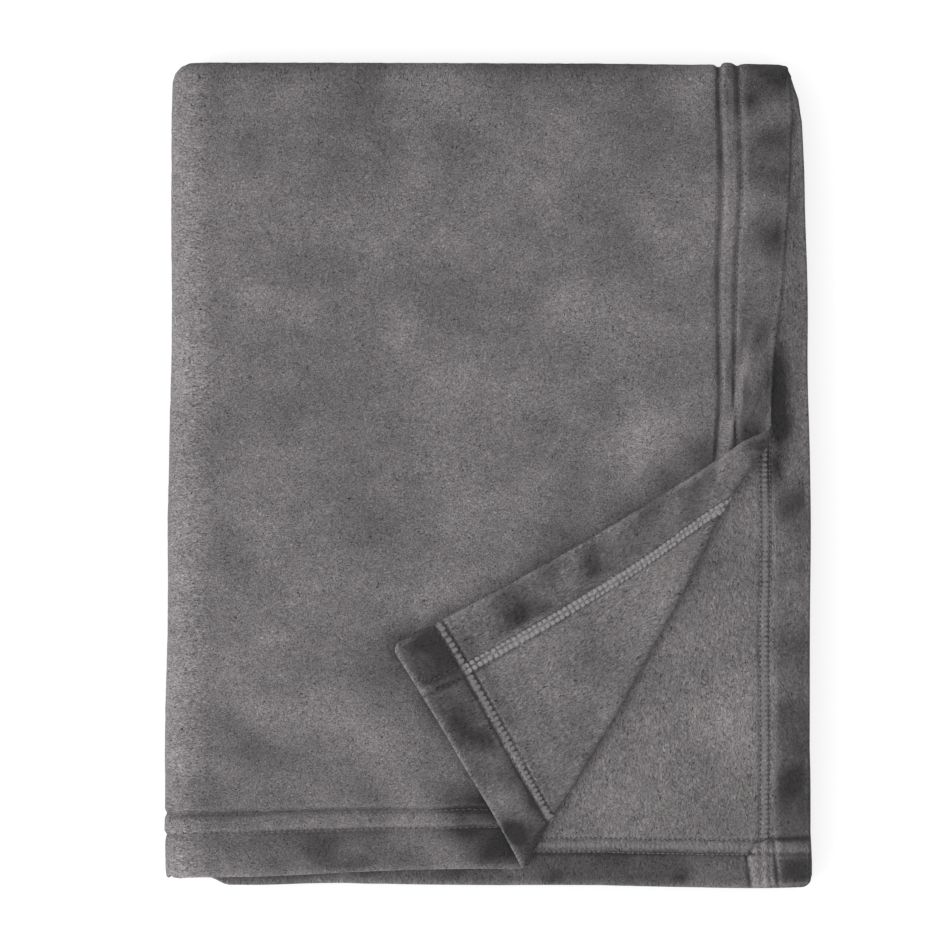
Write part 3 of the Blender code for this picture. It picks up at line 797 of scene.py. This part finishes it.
second_x = LEFT_FOLD.line + 3 * MM
second_y = FRONT_FOLD.partner(BACK_FOLD.far_end()) - 12 * MM
rest_turns = []
for at in (LEFT_FOLD.line, RIGHT_FOLD.partner(LEFT_FOLD.line)):
    way = -1 if at == LEFT_FOLD.line else 1
    rest_turns.append((min(at, at + way * LEFT_FOLD.arc), max(at, at + way * LEFT_FOLD.arc), 2.9 * MM))
rest_turns.append((RIGHT_FOLD.far_end(), RIGHT_FOLD.line, 1.1 * MM))
back_turns = []
for at in (BACK_FOLD.line, FRONT_FOLD.partner(BACK_FOLD.line)):
    way = 1 if at == BACK_FOLD.line else -1
    back_turns.append((min(at, at + way * BACK_FOLD.arc), max(at, at + way * BACK_FOLD.arc), 2.2 * MM))
back_turns.append((FRONT_FOLD.line, FRONT_FOLD.far_end(), 0.7 * MM))
rest_xs = lines(THROW_LEFT, 0.0, 10.5 * MM, [
    *rest_turns, (second_x - 0.1 * MM, second_x, 0.1 * MM), (LEFT_CUT - 0.1 * MM, LEFT_CUT, 0.1 * MM),
    (-SEAM_ZONE, 0.0, 4.5 * MM), rim(0.0, -1), rim(THROW_LEFT, 1),
])
rest_ys = lines(0.0, THROW_BACK, 10.5 * MM, [
    *back_turns, (second_y - 0.1 * MM, second_y, 0.1 * MM), (BACK_CUT, BACK_CUT + 0.1 * MM, 0.1 * MM),
    (0.0, SEAM_ZONE, 4.5 * MM), rim(0.0, 1), rim(THROW_BACK, -1),
])
cell_x, cell_y = np.meshgrid((rest_xs[1:] + rest_xs[:-1]) / 2, (rest_ys[1:] + rest_ys[:-1]) / 2)
in_top = (cell_x > LEFT_CUT) & (cell_y < BACK_CUT)
in_second = (cell_x > second_x) & (cell_y > second_y)
folded, folded_flat, _ = cloth(
    "folded_cloth", rest_xs, rest_ys, REST_HEMS, rest_place, ~(in_top | in_second))
second_turn = (second_y, second_y + 12 * MM + BACK_FOLD.arc, 1.8 * MM)
second_xs = lines(second_x, 0.0, 2.6 * MM, [rim(0.0, -1), (-SEAM_ZONE, -15 * MM, 0.95 * MM)])
second_ys = lines(second_y, THROW_BACK, 2.6 * MM, [
    rim(THROW_BACK, -1), second_turn, (THROW_BACK - 31 * MM, THROW_BACK - 15 * MM, 0.95 * MM)])
second, _, _ = cloth(
    "second_layer", second_xs, second_ys, REST_HEMS, rest_place, extra=second_extra)

# ---------------------------------------------------------------- stitches

DOT_RINGS, DOT_SIDES = 5, 8


def dots(name, spots, size, hems, place, on_face, material):
    """Many small rounded pieces lying on the cloth at spots (x, y, way along the seam): thread, or dots of
    painted shade.
    """
    spots = np.array(spots)
    length, width, thick, proud = size
    rings = np.linspace(-0.92, 0.92, DOT_RINGS)
    around = np.linspace(0, 2 * np.pi, DOT_SIDES, endpoint=False)
    girth = (1 - np.abs(rings) ** 3) ** 0.5
    along = np.repeat(rings, DOT_SIDES) * length / 2
    across = (girth[:, None] * np.cos(around)).ravel() * width / 2
    up = (girth[:, None] * np.sin(around)).ravel() * thick / 2
    relief, _ = hems.relief(spots[:, 0], spots[:, 1], on_face)
    cos, sin = np.cos(spots[:, 2])[:, None], np.sin(spots[:, 2])[:, None]
    x = spots[:, 0][:, None] + along * cos - across * sin
    y = spots[:, 1][:, None] + along * sin + across * cos
    surface = MIDDLE + ((PITCH - GAP) / 2 + relief[:, None] + proud + up) * (1 if on_face else -1)
    points = place(x.ravel(), y.ravel(), surface.ravel())[0]
    faces = []
    for ring in range(DOT_RINGS - 1):
        for side in range(DOT_SIDES):
            a, b = ring * DOT_SIDES + side, ring * DOT_SIDES + (side + 1) % DOT_SIDES
            faces.append((a, b, b + DOT_SIDES, a + DOT_SIDES))
    caps = [tuple(range(DOT_SIDES))[::-1], tuple(range((DOT_RINGS - 1) * DOT_SIDES, DOT_RINGS * DOT_SIDES))]
    count = DOT_RINGS * DOT_SIDES
    all_faces = [tuple(v + count * n for v in f) for n in range(len(spots)) for f in (*faces, *caps)]
    mesh = bpy.data.meshes.new(name)
    mesh.from_pydata(points.tolist(), [], all_faces)
    mesh.shade_smooth()
    mesh.materials.append(material)
    obj = bpy.data.objects.new(name, mesh)
    bpy.context.collection.objects.link(obj)
    return obj, np.stack([x.ravel(), y.ravel()], axis=1), surface.ravel() - MIDDLE


def seam_spots(edge, inward, axis, offset, start, end, pitch, seed, turn=0.0, wobble=0.12):
    """Evenly spaced stitches along a hem, at an offset from its edge, with a little unevenness."""
    random = np.random.default_rng(seed)
    along = np.arange(start, end, pitch)
    along = along + random.normal(0, 0.06 * pitch, len(along))
    line = edge + inward * (offset + random.normal(0, wobble * MM, len(along)))
    way = (math.pi / 2 if axis == 0 else 0.0) + turn + random.normal(0, 0.09, len(along))
    columns = [line, along, way] if axis == 0 else [along, line, way]
    return np.stack(columns, axis=1)


def parted_distance(spots):
    """How far each spot of the top layer's seams lies beyond the hinge line of the crease."""
    px, py = spots[:, 0] + HALF_WIDTH, spots[:, 1] - HALF_DEPTH
    return (px - CREASE_POINT.x) * CREASE_RIGHT.x + (py - CREASE_POINT.y) * CREASE_RIGHT.y


def parted(spots):
    """The spots of the top layer's seams on its flat part, and those on its turned corner."""
    across = parted_distance(spots)
    return spots[across <= -5 * MM], spots[across > -5 * MM]


THREADS = {"top": [], "corner": [], "second": []}
QUARTER = math.pi / 2
TOP_Y_END = BACK_FOLD.line + BACK_FOLD.arc
TOP_X_END = LEFT_FOLD.line - LEFT_FOLD.arc

for kind, axis, edge, inward, reach in (
    (SIDE, 0, TOP_SIDE_EDGE, -1, (TOP_FRONT_EDGE + 4 * MM, TOP_Y_END)),
    (FRONT, 1, TOP_FRONT_EDGE, 1, (TOP_X_END, TOP_SIDE_EDGE - 4 * MM)),
):
    inner, outer = FACE_SEAM[kind]
    for label, offset, size, material in (
        # The needle line's dark dots are painted shade in the stitch holes.
        ("needle", outer, (1.5 * MM, 0.75 * MM, 0.6 * MM, 0.05 * MM), STITCH_HOLE_SHADE),
        ("needle_thread", outer - 0.4 * MM, (1.9 * MM, 0.5 * MM, 0.5 * MM, 0.0), CHAIN_THREAD),
        ("fold_stitch", inner - 0.8 * MM, (2.0 * MM, 0.45 * MM, 0.5 * MM, 0.0), CHAIN_THREAD),
    ):
        shift = 0.5 * STITCH if label == "needle_thread" else 0.0
        spots = seam_spots(edge, inward, axis, offset, reach[0] + shift, reach[1], STITCH, 71)
        for part, chosen in zip(("top", "corner"), parted(spots)):
            if part == "corner":
                chosen = chosen[parted_distance(chosen) > 12 * MM]
            name = f"{part}_{kind}_{label}"
            THREADS[part].append(dots(name, chosen, size, TOP_HEMS, place_top, True, material))

    inner, outer = TOP_BACK_SEAM[kind]
    spots = []
    chain = []
    for at, seed in ((inner, 81), (outer, 82)):
        spots.append(seam_spots(edge, inward, axis, at, *reach, STITCH, seed))
    rows = (0.28, 0.74) if kind == SIDE else (0.5,)
    for share in rows:
        at = outer + share * (inner - outer)
        first = reach[0] + 0.5 * STITCH if kind == FRONT else reach[0] + 25 * MM
        chain.append(seam_spots(edge, inward, axis, at, first, reach[1], STITCH, 83, QUARTER))
    spots, chain = np.concatenate(spots), np.concatenate(chain)
    side_cell = (3.0 * MM, 2.85 * MM, 1.1 * MM, -0.22 * MM)
    front_cell = (3.6 * MM, 2.6 * MM, 0.9 * MM, -0.25 * MM)
    cell = side_cell if kind == SIDE else front_cell
    # The pits are dark dots of painted shade in the stitch holes.
    pit = (1.9 * MM, 0.75 * MM, 0.5 * MM, 0.05 * MM)
    pits = dots(f"corner_{kind}_pits", parted(spots)[1], pit, TOP_HEMS, place_top, False, STITCH_HOLE_SHADE)
    THREADS["corner"].append(pits)
    thread = LIGHT_THREAD if kind == SIDE else CHAIN_THREAD
    ladder = dots(f"corner_{kind}_chain", parted(chain)[1], cell, TOP_HEMS, place_top, False, thread)
    THREADS["corner"].append(ladder)

for kind, axis, edge, inward, reach in (
    (SIDE, 0, 0.0, -1, (second_y + 12 * MM, THROW_BACK - 27 * MM)),
    (FRONT, 1, THROW_BACK, -1, (second_x, -35 * MM)),
):
    inner, outer = REST_BACK_SEAM[kind]
    first = reach[0] + 1.3 * MM
    pits = np.concatenate([
        seam_spots(edge, inward, axis, inner, *reach, SECOND_STITCH, 91),
        seam_spots(edge, inward, axis, outer, *reach, SECOND_STITCH, 92),
    ])
    middle = (inner + outer) / 2
    chain = seam_spots(edge, inward, axis, middle, first, reach[1], SECOND_STITCH, 93, QUARTER)
    loops = np.concatenate([
        seam_spots(edge, inward, axis, at, first, reach[1], SECOND_STITCH, seed)
        for at, seed in ((inner + 0.2 * MM, 94), (outer - 0.2 * MM, 95))
    ])
    for label, spots, size, material in (
        # The pits are dark dots of painted shade in the stitch holes.
        ("pits", pits, (1.4 * MM, 0.85 * MM, 0.6 * MM, 0.06 * MM), STITCH_HOLE_SHADE),
        ("chain", chain, (3.2 * MM, 2.1 * MM, 1.0 * MM, -0.12 * MM), CHAIN_THREAD),
        ("loops", loops, (1.5 * MM, 0.45 * MM, 0.5 * MM, 0.0), LIGHT_THREAD),
    ):
        name = f"second_{kind}_{label}"
        THREADS["second"].append(dots(name, spots, size, REST_HEMS, rest_place, False, material))

# ---------------------------------------------------------------- placing the pieces; the second layer and its stitches hang on the upper half

set_weights(top_layer, left_weight(top_flat[:, 0], positions(top_layer)))
set_weights(folded, left_weight(folded_flat[:, 0], positions(folded)))
set_weights(corner, corner_share(corner, corner_flat, corner_level))
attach(second, "upper_half")
for obj, flat, _ in THREADS["top"]:
    set_weights(obj, left_weight(flat[:, 0], positions(obj)))
for obj, flat, level in THREADS["corner"]:
    set_weights(obj, corner_share(obj, flat, level))
for obj, _, _ in THREADS["second"]:
    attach(obj, "upper_half")
THREADS = {part: [found[0] for found in each] for part, each in THREADS.items()}

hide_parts("top_panel_01", "top_side_hem_01", "top_front_hem_01",
            "left_fold_01_08_to_16_09")
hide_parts("corner_panel", "corner_side_hem", "corner_front_hem", "crease_turn")
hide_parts("layer_02", "side_hem_02", "front_hem_02")
INNER_KINDS = ("layer_", "side_hem_", "front_hem_", "back_fold_", "front_fold_", "right_fold_", "left_fold_")
SHOWN_ALONE = ("layer_02", "side_hem_02", "front_hem_02", "left_fold_01_08_to_16_09")
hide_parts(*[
    name for name in frame["nodes"] if name.startswith(INNER_KINDS) and name not in SHOWN_ALONE
])
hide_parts("top_side_needle_inner", "top_side_needle_outer",
            "top_front_needle_inner", "top_front_needle_outer")
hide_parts("corner_side_looper_chain", "corner_front_looper_chain")
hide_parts("side_looper_chain_02", "front_looper_chain_02")

# ---------------------------------------------------------------- floor, light and camera

floor_mesh = bpy.data.meshes.new("floor")
floor_mesh.from_pydata([(-3, -3, 0), (3, -3, 0), (3, 3, 0), (-3, 3, 0)], [], [(0, 1, 2, 3)])
floor = bpy.data.objects.new("floor", floor_mesh)
bpy.context.collection.objects.link(floor)
floor.location.z = -0.5 * MM
floor_material = bpy.data.materials.new("floor_white")
floor_material.use_nodes = True
floor_shader = floor_material.node_tree.nodes["Principled BSDF"]
floor_shader.inputs["Base Color"].default_value = (0.42, 0.42, 0.42, 1)
floor_shader.inputs["Roughness"].default_value = 0.9
floor_shader.inputs["Emission Color"].default_value = (1, 1, 1, 1)
floor_shader.inputs["Emission Strength"].default_value = 0.62
floor_mesh.materials.append(floor_material)

world = bpy.data.worlds.new("soft_room")
bpy.context.scene.world = world
world.use_nodes = True
world.node_tree.nodes["Background"].inputs["Color"].default_value = (1.0, 1.0, 1.0, 1)
world.node_tree.nodes["Background"].inputs["Strength"].default_value = 0.92


def soft_light(name, spot, target, size, power):
    lamp = bpy.data.lights.new(name, "AREA")
    lamp.shape, lamp.size, lamp.energy = "DISK", size, power
    obj = bpy.data.objects.new(name, lamp)
    bpy.context.collection.objects.link(obj)
    obj.location = spot
    obj.rotation_euler = (Vector(target) - Vector(spot)).to_track_quat("-Z", "Y").to_euler()


soft_light("key_left", (-1.3, -0.35, 1.9), (0, 0, 0), 1.3, 16)
soft_light("overhead", (-0.2, -0.1, 2.6), (0, 0, 0), 2.0, 14)

VIEW_WIDTH = 0.51775
CAMERA_HEIGHT = 4.5
camera_data = bpy.data.cameras.new("camera")
camera_data.sensor_width = 36
camera_data.lens = 36 * (CAMERA_HEIGHT - TOP_Z / 2) / VIEW_WIDTH
camera = bpy.data.objects.new("camera", camera_data)
camera.location = (-0.0068, 0.0003, CAMERA_HEIGHT)
bpy.context.collection.objects.link(camera)
bpy.context.scene.camera = camera
bpy.context.scene.view_settings.view_transform = "Standard"
